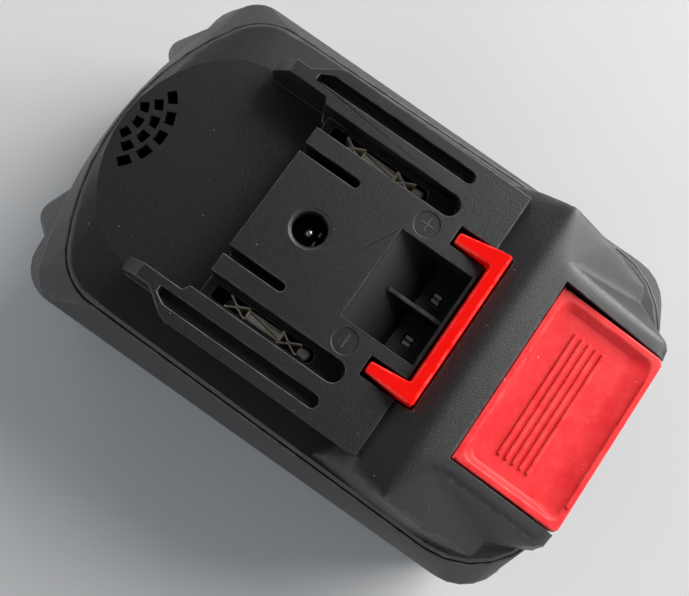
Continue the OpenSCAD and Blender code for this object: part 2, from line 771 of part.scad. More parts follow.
module button() {
    hw = button_w / 2;
    dish_hw = hw - 1.3 * dish_rim;
    x0 = button_rear;
    x1 = latch_front;
    difference() {
        side_prism([
            [x0, rim_line(x0) - button_skin], [x0, rim_line(x0)],
            [x1 - 0.2 * dish_rim, rim_line(x1)], [x1, rim_line(x1) - 0.3 * dish_rim], [x1, apron_z],
            [x1 - apron_t, apron_z], [x1 - apron_t, rim_line(x1) - button_skin + dish_depth / 2]],
            -hw, hw);
        side_prism([
            [x0 + dish_rim, rim_line(x0) + cut], [x0 + dish_rim, rim_line(x0 + dish_rim) - dish_depth / 2],
            [x0 + 1.3 * dish_rim, dish_line(x0 + 1.3 * dish_rim)],
            [x1 - 3.6 * dish_rim, dish_line(x1 - 3.6 * dish_rim)],
            [x1 - 2.2 * dish_rim, dish_line(x1 - 2.2 * dish_rim) + 0.1 * dish_depth],
            [x1 - 1.2 * dish_rim, dish_line(x1 - 1.2 * dish_rim) + 0.5 * dish_depth],
            [x1 - 0.75 * dish_rim, rim_line(x1)], [x1 - 0.75 * dish_rim, rim_line(x0) + cut]],
            -dish_hw, dish_hw);
    }
    lip_hw = dish_hw - 1.1 * dish_rim;
    side_prism([
        [x1 - 0.8 * dish_rim, rim_line(x1) - dish_depth / 2],
        [x1 - 0.8 * dish_rim, rim_line(x1) + 0.2 * dish_rim],
        [x1 - 0.2 * dish_rim, rim_line(x1) + 0.2 * dish_rim], [x1, rim_line(x1) - 0.1 * dish_rim],
        [x1, rim_line(x1) - dish_depth / 2]],
        -lip_hw, lip_hw);
    rib_start = x0 + 2.9 * dish_rim + 0.5 * rib_pitch;
    for (i = [0:rib_count - 1]) {
        x = rib_start + i * rib_pitch;
        side_prism([
            [x, dish_line(x) - rib_h], [x, dish_line(x) + rib_h],
            [x + rib_w, dish_line(x + rib_w) + rib_h], [x + rib_w, dish_line(x + rib_w) - rib_h]],
            -rib_l / 2, rib_l / 2);
    }
}

module release_latch() {
    color([0.82, 0.09, 0.07]) {
        hook();
        box([hook_front - hook_bar, -hook_w / 2, bridge_z],
            [button_rear + dish_rim, hook_w / 2, bridge_z + bridge_t]);
        button();
        both_sides() translate([spring_x, spring_y, bridge_z - pin_h])
            cylinder(d = spring_d - 2 * spring_wire - 2 * latch_gap, h = pin_h + sheet, $fn = fine);
    }
}

// Compression spring under the latch, standing in its cup on the tray
spring_turns = 3.5;
spring_sides = 6;
spring_ring_steps = 14;
spring_z = board_z;
spring_h = bridge_z - spring_z;
module latch_spring(y) {
    r = spring_d / 2 - spring_wire / 2;
    w = spring_wire / 2;
    n = floor(spring_turns * spring_ring_steps);
    points = [for (i = [0:n]) let (
            a = 360 * spring_turns * i / n,
            z = spring_z + w + (spring_h - spring_wire) * i / n)
        for (k = [0:spring_sides - 1]) let (b = 360 * k / spring_sides)
            [spring_x + (r + w * cos(b)) * cos(a), y + (r + w * cos(b)) * sin(a), z + w * sin(b)]];
    s = spring_sides;
    sides = [for (i = [0:n - 1]) for (k = [0:s - 1])
        let (a = i * s + k, b = i * s + (k + 1) % s)
            for (f = [[a, b, b + s], [a, b + s, a + s]]) f];
    start = [for (k = [s - 1:-1:0]) k];
    end = [for (k = [0:s - 1]) n * s + k];
    color([0.7, 0.71, 0.73]) polyhedron(points, concat([start], sides, [end]));
}

// Cells, numbered along the lower layer and then along the upper one
module cell(i, j) {
    flip = (i % 2 == 0) ? 1 : -1;
    color([0.2, 0.42, 0.62]) translate([cell_x(i), 0, cell_z(j)]) rotate([-90 * flip, 0, 0]) {
        translate([0, 0, -cell_l / 2]) cylinder(d = cell_d, h = cell_l - cap_h, $fn = fine);
        translate([0, 0, cell_l / 2 - cap_h - sheet]) cylinder(d = cap_d, h = cap_h + sheet, $fn = fine);
    }
}

// Comb that holds one end of all cells
module cell_holder(s) {
    y = cell_l / 2 - cap_h - holder_depth;
    color([0.85, 0.85, 0.8]) across(s) difference() {
        union() {
            box([holder_rear, y, holder_z],
                [holder_rear + holder_l, y + holder_depth, cell_z(rows - 1)]);
            box([cell_x(0), y, holder_z], [cell_x(cols - 1), y + holder_depth, holder_top]);
            for (i = [0, cols - 1]) translate([cell_x(i), y, cell_z(rows - 1)]) rotate([-90, 0, 0])
                cylinder(r = hole_r + holder_wall, h = holder_depth, $fn = fine);
        }
        for (i = [0:cols - 1]) for (j = [0:rows - 1])
            translate([cell_x(i), y - cut, cell_z(j)]) rotate([-90, 0, 0])
                cylinder(r = hole_r, h = holder_depth + 2 * cut, $fn = fine);
    }
}

// Nickel strip over the cell ends of columns a to b, on side s
strip_margin = 4;
module nickel_strip(a, b, s) {
    y = cell_l / 2;
    color([0.75, 0.76, 0.78]) across(s) difference() {
        box([cell_x(a) - strip_margin, y, cell_z(0) - strip_margin],
            [cell_x(b) + strip_margin, y + strip_t, cell_z(rows - 1) + strip_margin]);
        for (i = [a:b]) for (j = [0:rows - 1])
            box([cell_x(i) - strip_margin / 8, y - cut, cell_z(j) - strip_margin / 2],
                [cell_x(i) + strip_margin / 8, y + cut, cell_z(j) + strip_margin / 2]);
    }
}

// Insulating paper over the strips on side s, and sheet over the cell holders
module end_paper(s) {
    y = cell_l / 2 + strip_t;
    color([0.75, 0.7, 0.55]) across(s)
        box([cell_x(0) - 1.2 * strip_margin, y, cell_z(0) - 1.2 * strip_margin],
            [cell_x(cols - 1) + 1.2 * strip_margin, y + paper_t, cell_z(rows - 1) + 1.2 * strip_margin]);
}

tray_back = 2;
tray_lead = 6;
tray_side = 5.5;
tray_rear = cell_x(0) - tray_back;
tray_front = spring_x + tray_lead;
tray_hw = cell_l / 2 - tray_side;
cup_wall = 0.8;
cup_r = spring_d / 2 + latch_gap + cup_wall;
cup_h = 1.6;
board_step = 1;
board_rear = tray_rear + board_step;
board_front = spring_x - cup_r - seat;
board_hw = tray_hw - 2 * board_step;
sheet_margin = 1.5;
module insulating_sheet() {
    color([0.9, 0.88, 0.8])
        box([tray_rear - sheet_margin, -tray_hw - sheet_margin, holder_top],
            [cell_x(cols - 1), tray_hw + sheet_margin, tray_z]);
}

// Tray on the cell holders, with the cups that the latch springs stand in
module board_tray() {
    color([0.2, 0.2, 0.22]) {
        box([tray_rear, -tray_hw, tray_z], [tray_front, tray_hw, board_z]);
        both_sides() translate([spring_x, spring_y, board_z - sheet]) difference() {
            cylinder(r = cup_r, h = cup_h, $fn = fine);
            translate([0, 0, -cut]) cylinder(r = spring_d / 2 + latch_gap, h = cup_h + 2 * cut, $fn = fine);
        }
    }
}

module circuit_board() {
    color([0.1, 0.35, 0.2])
        box([board_rear, -board_hw, board_z], [board_front, board_hw, board_top]);
}

// Power contact: feet on the board, a flat bar, and two pinched pairs of leaves
contact_t = 0.5;
leaf_l = 6;
contact_mid_l = 7;
contact_start = pocket_slot_front - pocket_slot_w / 4 - 2 * leaf_l - contact_mid_l;
contact_sink = 0.4;
contact_top = plate_z - pocket_depth - contact_sink;
leaf_spread = 1.9;
pinch_gap = 0.3;
module leaf(x, w, top) {
    a = w / 2;
    p = pinch_gap / 2;
    translate([x, 0, board_top]) linear_extrude(top - board_top) polygon([
        [0, a], [0, a - contact_t], [0.55 * leaf_l, p], [leaf_l, a - contact_t - p],
        [leaf_l, a - p], [0.55 * leaf_l, p + contact_t]]);
}

module power_contact(s) {
    end = contact_start + leaf_l;
    color([0.78, 0.72, 0.6]) across(s) translate([0, pocket_mid, 0]) {
        for (x = [contact_start, end + contact_mid_l]) both_sides() leaf(x, leaf_spread, contact_top);
        box([contact_start, -leaf_spread / 2, board_top],
            [end + contact_mid_l + leaf_l, leaf_spread / 2, board_top + contact_t]);
        box([end - contact_t, -leaf_spread / 2, board_top],
            [end + contact_mid_l + contact_t, leaf_spread / 2, contact_top - contact_t]);
    }
}

// Signal contact: two pins deep in the connector well
pin_t = 0.6;
module signal_contact(s) {
    top = plate_z - well_depth - well_wall / 2;
    color([0.8, 0.78, 0.7]) across(s) translate([signal_x, signal_y, board_top]) {
        both_sides() box([-signal_slot / 3, pin_t / 2, 0], [signal_slot / 3, 1.5 * pin_t, top - board_top]);
        box([-signal_slot / 3, -1.5 * pin_t, 0], [signal_slot / 3, 1.5 * pin_t, pin_t]);
    }
}

// Charging jack under its hole
jack_wall = 1;
jack_floor = 2;
jack_body_r = jack_r + jack_wall;
jack_body_top = plate_z - cover_wall - jack_collar - seat / 2;
jack_play = 0.45;
jack_bore_r = jack_r + jack_play;
jack_pin_r = 0.95;
jack_pin_top = plate_z - cover_wall - jack_collar - seat;
module jack_body() {
    color([0.1, 0.1, 0.1]) translate([jack_x, 0, 0]) difference() {
        union() {
            translate([0, 0, board_top])
                cylinder(r = jack_body_r, h = jack_body_top - board_top, $fn = fine);
            box([-jack_body_r, -jack_body_r, board_top], [jack_body_r, jack_body_r, board_top + jack_r]);
        }
        translate([0, 0, board_top + jack_floor]) cylinder(r = jack_bore_r, h = block_h, $fn = fine);
    }
}

module jack_pin() {
    z = board_top + jack_floor;
    color([0.85, 0.85, 0.86]) translate([jack_x, 0, 0]) {
        translate([0, 0, z]) cylinder(r = jack_pin_r, h = jack_pin_top - z - jack_pin_r, $fn = fine);
        translate([0, 0, jack_pin_top - jack_pin_r]) sphere(r = jack_pin_r, $fn = fine);
    }
}

module jack_springs() {
    color([0.8, 0.8, 0.82]) translate([jack_x, 0, board_top + jack_floor]) both_sides()
        side_prism([
            [1.6 * jack_pin_r, 0], [1.6 * jack_pin_r, 0.55 * block_h], [2 * jack_pin_r, 0.55 * block_h],
            [2.2 * jack_pin_r, 0]],
            0.6 * jack_pin_r, 1.6 * jack_pin_r);
}

// Parts on the circuit board, placed round the charging jack
part_h = 2;
part_gap = 0.75;
switch_l = 6;
switch_w = 5;
switch_pitch = 6.4;
switch_x = jack_x + jack_body_r + 3 * part_gap;
module power_switches() {
    color([0.08, 0.08, 0.09]) for (i = [-1:1])
        box([switch_x, i * switch_pitch - switch_w / 2, board_top],
            [switch_x + switch_l, i * switch_pitch + switch_w / 2, board_top + part_h]);
}

capacitor_r = 2;
module capacitor() {
    color([0.15, 0.2, 0.4])
        translate([jack_x - fuse_l / 2, jack_body_r, board_top])
            translate([-part_gap - capacitor_r, part_gap + capacitor_r, 0])
                cylinder(r = capacitor_r, h = 1.5 * part_h, $fn = fine);
}

chip_l = 6;
chip_w = 5;
module control_chip() {
    color([0.08, 0.08, 0.09])
        box([jack_x - chip_l, -jack_body_r - part_gap - chip_w, board_top],
            [jack_x, -jack_body_r - part_gap, board_top + part_h / 2]);
}

fuse_l = 5;
fuse_w = 4;
module fuse() {
    color([0.9, 0.88, 0.8])
        box([jack_x - fuse_l / 2, jack_body_r + part_gap, board_top],
            [jack_x + fuse_l / 2, jack_body_r + part_gap + fuse_w, board_top + part_h]);
}

// Flat lead in the plane of the end strip of column i, then up at x_up, stepped in above the
// cells, over the cell holder and up on the board at x_board
lead_w = 4;
lead_shift = 10;
module lead(i, s, x_up, x_board) {
    y = cell_l / 2;
    w = lead_w / 2;
    tray_y = tray_hw + 0.5 * seat;
    z = cell_z(rows - 1) + strip_margin;
    step_y = cell_l / 2 - cap_h + seat / 2;
    step_z = holder_top - cap_h;
    color([0.75, 0.76, 0.78]) across(s) {
        box([min(x_up, cell_x(i)) - w, y, z], [max(x_up, cell_x(i)) + w, y + strip_t, z + w]);
        box([x_up - w, y, z], [x_up + w, y + strip_t, step_z]);
        box([x_up - w, step_y, step_z - strip_t], [x_up + w, y + strip_t, step_z]);
        box([x_up - w, step_y, step_z - strip_t], [x_up + w, step_y + strip_t, tray_z + strip_t]);
        box([min(x_board, x_up) - w, tray_y, tray_z],
            [max(x_board, x_up) + w, step_y + strip_t, tray_z + strip_t]);
        box([x_board - w, tray_y, tray_z], [x_board + w, tray_y + strip_t, board_top + strip_t]);
        box([x_board - w, board_hw - lead_w, board_top],
            [x_board + w, tray_y + strip_t, board_top + strip_t]);
    }
}

// Temperature sensor in the valley between two cells of the upper layer
sensor_r = 1;
module temperature_sensor() {
    x = (cell_x(2) + cell_x(3)) / 2;
    reach = cell_d / 2 + sensor_r + seat / 3;
    z = cell_z(rows - 1) + sqrt(reach * reach - pitch * pitch / 4);
    color([0.1, 0.1, 0.1]) translate([x, 0, z]) rotate([90, 0, 0])
        cylinder(r = sensor_r, h = 8 * sensor_r, center = true, $fn = fine);
}

bottom_case();
top_cover();
release_latch();
latch_spring(spring_y);  // latch_spring_left
latch_spring(-spring_y);  // latch_spring_right
cell(0, 0);  // cell_1
cell(1, 0);  // cell_2
cell(2, 0);  // cell_3
cell(3, 0);  // cell_4
cell(4, 0);  // cell_5
cell(0, 1);  // cell_6
cell(1, 1);  // cell_7
cell(2, 1);  // cell_8
cell(3, 1);  // cell_9
cell(4, 1);  // cell_10
cell_holder(1);  // cell_holder_left
cell_holder(-1);  // cell_holder_right
nickel_strip(0, 1, 1);  // nickel_strip_left_1
nickel_strip(2, 3, 1);  // nickel_strip_left_2
nickel_strip(4, 4, 1);  // nickel_strip_left_3
nickel_strip(0, 0, -1);  // nickel_strip_right_1
nickel_strip(1, 2, -1);  // nickel_strip_right_2
nickel_strip(3, 4, -1);  // nickel_strip_right_3
end_paper(1);  // end_paper_left
end_paper(-1);  // end_paper_right
insulating_sheet();
board_tray();
circuit_board();
power_contact(1);  // positive_contact
power_contact(-1);  // negative_contact
signal_contact(1);  // signal_contact_left
signal_contact(-1);  // signal_contact_right
jack_body();
jack_pin();
jack_springs();
power_switches();
capacitor();
control_chip();
fuse();
lead(cols - 1, 1, cell_x(cols - 1) - lead_shift, board_front - lead_w);  // positive_lead
lead(0, -1, cell_x(0) + lead_shift, cell_x(0) + lead_w);  // negative_lead
temperature_sensor();
case_screws();
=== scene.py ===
# Slide-on battery pack for cordless tools: looks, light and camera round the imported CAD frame.
import math

import bmesh
import bpy
from mathutils import Matrix, Vector


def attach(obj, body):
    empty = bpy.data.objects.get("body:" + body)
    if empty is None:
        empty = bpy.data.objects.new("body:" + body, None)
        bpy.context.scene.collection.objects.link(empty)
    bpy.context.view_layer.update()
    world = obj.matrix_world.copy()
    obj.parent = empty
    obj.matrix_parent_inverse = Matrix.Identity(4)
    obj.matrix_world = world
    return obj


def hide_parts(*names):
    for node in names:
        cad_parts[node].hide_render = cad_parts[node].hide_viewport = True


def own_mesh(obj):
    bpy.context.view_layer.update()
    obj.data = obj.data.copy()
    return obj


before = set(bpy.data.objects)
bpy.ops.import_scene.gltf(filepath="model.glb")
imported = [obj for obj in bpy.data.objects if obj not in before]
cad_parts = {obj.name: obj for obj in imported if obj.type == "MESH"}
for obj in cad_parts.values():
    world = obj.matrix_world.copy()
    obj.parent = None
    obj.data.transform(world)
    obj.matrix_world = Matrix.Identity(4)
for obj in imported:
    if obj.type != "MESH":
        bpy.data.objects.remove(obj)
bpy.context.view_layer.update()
MM = 0.001

# Places that the looks share, in millimetres, as the CAD has them
PLATE_TOP, PLATE_FRONT = 56.0, 21.1
PLATEAU_TOP, SEAM_TOP = 46.0, 39.0
PACK_FRONT = 58.9
DISC_X, DISC_Y, DISC_SINK = 8.2, 13.0, 0.25
BAY_HALF_WIDTH, BAY_REAR = 19.3, 34.9
HOOD_START, BEAD_TOP = 14.0, 45.0
VENT_X, VENT_REACH = -54.9, 14.0
BUTTON_REAR, BUTTON_TOP, BUTTON_FALL = 35.3, 54.2, 3.4

# How copies of the CAD are joined and their edges rounded, in millimetres and degrees
JOIN_GAP, FLAT_TURN = 0.002, 0.5
EDGE_TURN, EDGE_STEPS, WIDEST_EDGE = 22.0, 3, 1.0
CRUMB = 0.012
SMOOTH_TURN = 38.0

# A radius takes at most ROOM_SHARE of the room beside its edge, and is at most NEIGHBOUR_SHARE
# times the smallest one that it meets. Edges that lie ALONG_EDGE or more its way don't count.
ROOM_SHARE, NEIGHBOUR_SHARE, ALONG_EDGE = 0.4, 1.6, 0.8

# Faces narrower than WEAR_WIDTH mm are worn, from WEAR_FROM degrees of turn, fully WEAR_RANGE later
WEAR_WIDTH, WEAR_FROM, WEAR_RANGE = 0.7, 8.0, 16.0


# Modelling helpers
def clamp(value):
    return max(0.0, min(1.0, value))


def only(obj):
    """Selects obj alone and makes it active."""
    if bpy.context.object and bpy.context.object.mode != "OBJECT":
        bpy.ops.object.mode_set(mode="OBJECT")
    bpy.ops.object.select_all(action="DESELECT")
    obj.select_set(True)
    bpy.context.view_layer.objects.active = obj


def apply_modifiers(obj):
    only(obj)
    for name in [modifier.name for modifier in obj.modifiers]:
        bpy.ops.object.modifier_apply(modifier=name)


def new_piece(name, mesh):
    """Makes a finished bmesh an object of the scene."""
    data = bpy.data.meshes.new(name)
    mesh.to_mesh(data)
    mesh.free()
    piece = bpy.data.objects.new(name, data)
    bpy.context.scene.collection.objects.link(piece)
    return piece


def merged_copy(cad_name, name):
    """A copy of a CAD node's mesh with its loose triangles joined into flat faces."""
    obj = bpy.data.objects.new(name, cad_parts[cad_name].data.copy())
    bpy.context.scene.collection.objects.link(obj)
    obj.data.materials.clear()
    only(obj)
    bpy.ops.object.mode_set(mode="EDIT")
    bpy.ops.mesh.select_all(action="SELECT")
    bpy.ops.mesh.remove_doubles(threshold=JOIN_GAP * MM)
    bpy.ops.mesh.dissolve_limited(angle_limit=math.radians(FLAT_TURN))
    bpy.ops.mesh.select_all(action="DESELECT")
    bpy.ops.object.mode_set(mode="OBJECT")
    return obj


def room_beside(edge, vertex):
    """The length of the shortest edge at vertex that leads away from edge."""
    along = (edge.other_vert(vertex).co - vertex.co).normalized()
    room = 1.0
    for other in vertex.link_edges:
        way = other.other_vert(vertex).co - vertex.co
        if other != edge and abs(way.normalized().dot(along)) < ALONG_EDGE:
            room = min(room, way.length)
    return room


def round_edges(obj, radius_at):
    """Bevels every edge that turns by more than EDGE_TURN, by radius_at(its middle in mm), or by
    less where the faces beside it are narrow. No corner ends outside the box of the piece."""
    mesh = bmesh.new()
    mesh.from_mesh(obj.data)
    low, high = ([pick(vertex.co[axis] for vertex in mesh.verts) for axis in range(3)]
                 for pick in (min, max))
    weight = mesh.edges.layers.float.new("bevel_weight_edge")
    radii = {}
    for edge in mesh.edges:
        if len(edge.link_faces) == 2 and math.degrees(edge.calc_face_angle(0.0)) > EDGE_TURN:
            middle = (edge.verts[0].co + edge.verts[1].co) / (2 * MM)
            room = min(room_beside(edge, vertex) for vertex in edge.verts) / MM
            radii[edge] = min(radius_at(middle), ROOM_SHARE * room)
    for edge, radius in radii.items():
        if radius > 0.0:
            beside = [radii[other] for vertex in edge.verts for other in vertex.link_edges
                      if other in radii]
            edge[weight] = min(1.0, min(radius, NEIGHBOUR_SHARE * min(beside)) / WIDEST_EDGE)
    mesh.to_mesh(obj.data)
    mesh.free()
    only(obj)
    bevel = obj.modifiers.new("edges", "BEVEL")
    bevel.limit_method = "WEIGHT"
    bevel.width = WIDEST_EDGE * MM
    bevel.segments = EDGE_STEPS
    bevel.use_clamp_overlap = False
    bevel.miter_outer = "MITER_ARC"
    apply_modifiers(obj)
    mesh = bmesh.new()
    mesh.from_mesh(obj.data)
    bmesh.ops.dissolve_degenerate(mesh, dist=CRUMB * MM, edges=mesh.edges)
    for vertex in mesh.verts:
        for axis in range(3):
            vertex.co[axis] = min(max(vertex.co[axis], low[axis]), high[axis])
    mesh.to_mesh(obj.data)
    mesh.free()


def smooth(obj, crisp=None):
    """Shades a mesh smooth within SMOOTH_TURN, with large faces kept flat up to the soft strips
    beside them, and no blend between two faces that crisp(a, b) parts. Each face also gets a wear
    value, from how far it stands out along a convex edge."""
    mesh = bmesh.new()
    mesh.from_mesh(obj.data)
    mesh.faces.ensure_lookup_table()
    areas = [face.calc_area() / MM ** 2 for face in mesh.faces]
    normals, wear = [], []
    least = math.cos(math.radians(SMOOTH_TURN))

    def blends(face, other):
        if other.normal.dot(face.normal) <= least:
            return False
        return not (crisp and other != face and crisp(face, other))

    for face in mesh.faces:
        turns = [edge.calc_face_angle_signed(0.0) for edge in face.edges if len(edge.link_faces) == 2]
        sharpest = max((math.degrees(turn) for turn in turns if turn > 0.0), default=0.0)
        width = areas[face.index] * MM ** 2 / max(edge.calc_length() for edge in face.edges)
        narrow = width < WEAR_WIDTH * MM
        wear.append(clamp((sharpest - WEAR_FROM) / WEAR_RANGE) if narrow else 0.0)
        for loop in face.loops:
            total = Vector()
            for other in loop.vert.link_faces:
                if blends(face, other):
                    total += other.normal * areas[other.index] ** 2
            normals.append(total.normalized() if total.length > 0.0 else face.normal.copy())
    mesh.free()
    data = obj.data
    data.attributes.new("wear", "FLOAT", "FACE").data.foreach_set("value", wear)
    data.polygons.foreach_set("use_smooth", [True] * len(data.polygons))
    data.normals_split_custom_set(normals)
    data.update()


def block(name, size, place=(0, 0, 0)):
    """A box of size with its middle at place, both in mm and both put into its mesh."""
    bpy.ops.object.select_all(action="DESELECT")
    bpy.ops.mesh.primitive_cube_add(size=1, location=[at * MM for at in place])
    box = bpy.context.object
    box.name = name
    box.scale = [length * MM for length in size]
    bpy.ops.object.transform_apply(location=True, rotation=True, scale=True)
    return box


BAR_STEPS, CROWN_STEPS, CROWN_SHARE = 5, 3, 0.3


def rounded_bar(name, place, size, tilt=0.0, corner=0.48):
    """A bar with round corners and soft upper edges, tilted about Y. corner is a share of its width."""
    bar = block(name, size)
    length, width, height = size
    mesh = bmesh.new()
    mesh.from_mesh(bar.data)
    upright = [edge for edge in mesh.edges
               if abs(edge.verts[0].co.z - edge.verts[1].co.z) > 0.5 * height * MM]
    bmesh.ops.bevel(mesh, geom=upright, offset=corner * min(length, width) * MM,
                    segments=BAR_STEPS, profile=0.5, affect="EDGES")
    crown = [edge for edge in mesh.edges if all(v.co.z > 0.4 * height * MM for v in edge.verts)]
    bmesh.ops.bevel(mesh, geom=crown, offset=CROWN_SHARE * min(size) * MM,
                    segments=CROWN_STEPS, profile=0.5, affect="EDGES")
    bmesh.ops.rotate(mesh, verts=mesh.verts, cent=(0, 0, 0), matrix=Matrix.Rotation(tilt, 3, "Y"))
    bmesh.ops.translate(mesh, verts=mesh.verts, vec=Vector(place) * MM)
    mesh.to_mesh(bar.data)
    mesh.free()
    smooth(bar)
    return bar


# Shader helpers
def group(name, inputs, outputs):
    """A shader node group with named inputs and outputs; returns it with its two end nodes."""
    tree = bpy.data.node_groups.new(name, "ShaderNodeTree")
    for label, kind, value in inputs:
        item = tree.interface.new_socket(name=label, in_out="INPUT", socket_type=kind)
        if value is not None:
            item.default_value = value
    for label in outputs:
        tree.interface.new_socket(name=label, in_out="OUTPUT", socket_type="NodeSocketFloat")
    return tree, tree.nodes.new("NodeGroupInput"), tree.nodes.new("NodeGroupOutput")


def node(tree, kind, links=None, **settings):
    """Adds a node; links maps an input's name or number to a socket or a plain value."""
    made = tree.nodes.new(kind)
    for key, value in settings.items():
        setattr(made, key, value)
    for key, value in (links or {}).items():
        if isinstance(value, bpy.types.NodeSocket):
            tree.links.new(value, made.inputs[key])
        else:
            made.inputs[key].default_value = value
    return made


def use(tree, shared, **links):
    """Puts a shared group into a material; an underscore stands for a space in an input's name."""
    named = {key.replace("_", " "): value for key, value in links.items()}
    return node(tree, "ShaderNodeGroup", named, node_tree=shared)


def math_node(tree, operation, a, b, within_one=False):
    return node(tree, "ShaderNodeMath", {0: a, 1: b}, operation=operation,
                use_clamp=within_one).outputs[0]


def ramp(tree, value, low, high, to_low=0.0, to_high=1.0, kind="SMOOTHSTEP"):
    """Turns the range from low to high into that from to_low to to_high, held at both ends."""
    return node(tree, "ShaderNodeMapRange", {"Value": value, "From Min": low, "From Max": high,
                                             "To Min": to_low, "To Max": to_high},
                interpolation_type=kind).outputs["Result"]


def mix_colour(tree, share, a, b):
    return node(tree, "ShaderNodeMix", {0: share, 6: a, 7: b}, data_type="RGBA").outputs[2]


def noise_value(tree, place, scale, **more):
    """The value of a noise with scale bumps per metre."""
    return node(tree, "ShaderNodeTexNoise", {"Vector": place, "Scale": scale, **more}).outputs["Fac"]


def grain_group():
    """The grain of a spark-eroded mould: a height, rare glint cells (later lightened as a painted glint
    highlight and made less rough) and a soft change of tone.
    """
    tree, start, end = group("spark_eroded_grain", [
        ("Vector", "NodeSocketVector", None), ("Cells per metre", "NodeSocketFloat", 3500.0)],
        ["Height", "Glint", "Fleck"])
    vector, scale = start.outputs["Vector"], start.outputs["Cells per metre"]
    fine = noise_value(tree, vector, scale, Detail=2.0, Roughness=0.6)
    pits = node(tree, "ShaderNodeTexVoronoi", {"Vector": vector, "Scale": scale}, feature="F1")
    pit_depth = math_node(tree, "MULTIPLY", pits.outputs["Distance"], 0.45)
    pick = node(tree, "ShaderNodeSeparateColor", {0: pits.outputs["Color"]})
    bright_cell = ramp(tree, pick.outputs[0], 0.86, 1.0)
    cell_middle = ramp(tree, pits.outputs["Distance"], 0.1, 0.45, 1.0, 0.0)
    tree.links.new(math_node(tree, "SUBTRACT", fine, pit_depth), end.inputs["Height"])
    tree.links.new(math_node(tree, "MULTIPLY", bright_cell, cell_middle), end.inputs["Glint"])
    tree.links.new(fine, end.inputs["Fleck"])
    return tree


def wear_group():
    """Where convex edges are rubbed, in broken patches."""
    tree, start, end = group("edge_wear", [
        ("Vector", "NodeSocketVector", None), ("Amount", "NodeSocketFloat", 0.5)], ["Mask"])
    edge = node(tree, "ShaderNodeAttribute", attribute_name="wear").outputs["Fac"]
    patches = noise_value(tree, start.outputs["Vector"], 420.0, Detail=4.0)
    rubbed = math_node(tree, "MULTIPLY", edge, ramp(tree, patches, 0.35, 0.65))
    mask = math_node(tree, "MULTIPLY", rubbed, start.outputs["Amount"], within_one=True)
    tree.links.new(mask, end.inputs["Mask"])
    return tree


def dust_group():
    """Dust on what faces up: single specks of mixed size, and a thin uneven film."""
    tree, start, end = group("dust_specks", [
        ("Vector", "NodeSocketVector", None), ("Specks per metre", "NodeSocketFloat", 620.0),
        ("Speck size", "NodeSocketFloat", 0.085), ("Film", "NodeSocketFloat", 0.1)],
        ["Mask", "Film"])
    vector = start.outputs["Vector"]
    facing = node(tree, "ShaderNodeSeparateXYZ",
                  {0: node(tree, "ShaderNodeNewGeometry").outputs["Normal"]})
    up = ramp(tree, facing.outputs["Z"], 0.25, 0.85)
    cells = node(tree, "ShaderNodeTexVoronoi",
                 {"Vector": vector, "Scale": start.outputs["Specks per metre"]})
    pick = node(tree, "ShaderNodeSeparateColor", {0: cells.outputs["Color"]})
    size = math_node(tree, "MULTIPLY", ramp(tree, pick.outputs[0], 0.55, 1.0, kind="LINEAR"),
                     start.outputs["Speck size"])
    speck = ramp(tree, math_node(tree, "SUBTRACT", size, cells.outputs["Distance"]), 0.0, 0.03)
    smear = noise_value(tree, vector, 60.0, Detail=5.0, Roughness=0.65)
    film = math_node(tree, "MULTIPLY", ramp(tree, smear, 0.35, 0.8), start.outputs["Film"])
    tree.links.new(math_node(tree, "MULTIPLY", speck, up, within_one=True), end.inputs["Mask"])
    tree.links.new(math_node(tree, "MULTIPLY", film, up, within_one=True), end.inputs["Film"])
    return tree


GRAIN, WEAR, DUST = grain_group(), wear_group(), dust_group()
# The first colour here is a painted glint highlight; the other three are worn edges and dust.
PAINTED_GLINT_COLOUR, WORN_COLOUR = (0.16, 0.165, 0.17, 1), (0.06, 0.062, 0.064, 1)
FILM_COLOUR, SPECK_COLOUR = (0.05, 0.05, 0.046, 1), (0.30, 0.29, 0.26, 1)


def material(name, roughness, metallic=0.0, specular=0.5):
    """An empty material with its Principled shader, and Object coordinates to draw on."""
    made = bpy.data.materials.new(name)
    made.use_nodes = True
    tree = made.node_tree
    tree.nodes.clear()
    shader = node(tree, "ShaderNodeBsdfPrincipled", {
        "Roughness": roughness, "Metallic": metallic, "Specular IOR Level": specular})
    node(tree, "ShaderNodeOutputMaterial", {"Surface": shader.outputs[0]})
    return made, tree, shader, node(tree, "ShaderNodeTexCoord").outputs["Object"]


def join_surface(tree, shader, colour, roughness, height, depth, strength=1.0):
    """Joins the colour, the roughness and a bump of depth mm to the shader."""
    bump = node(tree, "ShaderNodeBump", {"Height": height, "Strength": strength,
                                         "Distance": depth * MM})
    tree.links.new(colour, shader.inputs["Base Color"])
    tree.links.new(roughness, shader.inputs["Roughness"])
    tree.links.new(bump.outputs[0], shader.inputs["Normal"])


